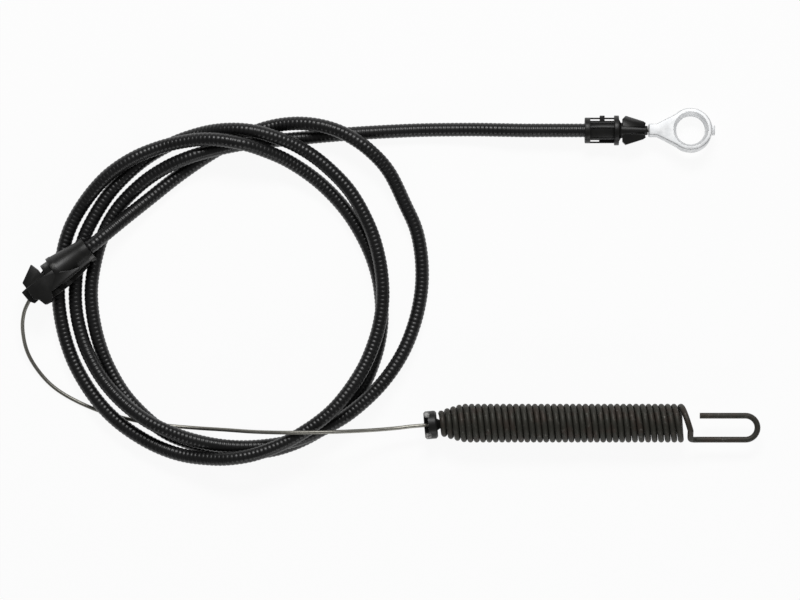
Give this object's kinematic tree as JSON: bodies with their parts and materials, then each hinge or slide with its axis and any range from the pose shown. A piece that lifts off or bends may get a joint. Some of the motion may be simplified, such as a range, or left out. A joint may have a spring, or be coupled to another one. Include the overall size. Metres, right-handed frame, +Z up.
{
  "type": "mower clutch cable",
  "caption": "Sheathed pull cable in a loose coil, with a cast eyelet and snap-in fitting at one end, a moulded bracket and an extension spring with a long hook at the other.",
  "frame": {"origin": "middle of the footprint of the fittings, eyelet and spring, on the surface the cable lies on; the conduit and the bare wire are left out of that footprint", "axes": "+X along the straight front end of the conduit, towards the eyelet; +Z up from the surface; +Y from the spring's side to the eyelet's side"},
  "size_m": [0.2846, 0.1369, 0.0184],
  "materials": {
    "jacket": "near-black ribbed vinyl, semi-gloss",
    "winding": "bright flat spring-steel winding",
    "wire": "galvanised, dull grey",
    "moulding": "black satin moulded nylon",
    "zinc": "bright as-cast zinc",
    "spring": "dark oiled spring steel"
  },
  "bodies": {
    "cable": {"conduit_jacket": "jacket", "conduit_winding": "winding", "inner_wire": "wire", "front_fitting": "moulding", "bracket_fitting": "moulding", "spring_plug": "moulding", "wire_nipple": "wire"},
    "eyelet": {"eyelet": "zinc", "inner_wire_front": "wire"},
    "spring": {"spring": "spring"}
  },
  "joints": [
    {"name": "eyelet_slide", "type": "slide", "parent": "cable", "child": "eyelet", "axis": [1, 0, 0], "range_m": [0, 0.03]},
    {"name": "spring_swivel", "type": "hinge", "parent": "cable", "child": "spring", "pos_m": [0.019, -0.0567, 0.0075], "axis": [1, 0, 0], "continuous": true}
  ]
}
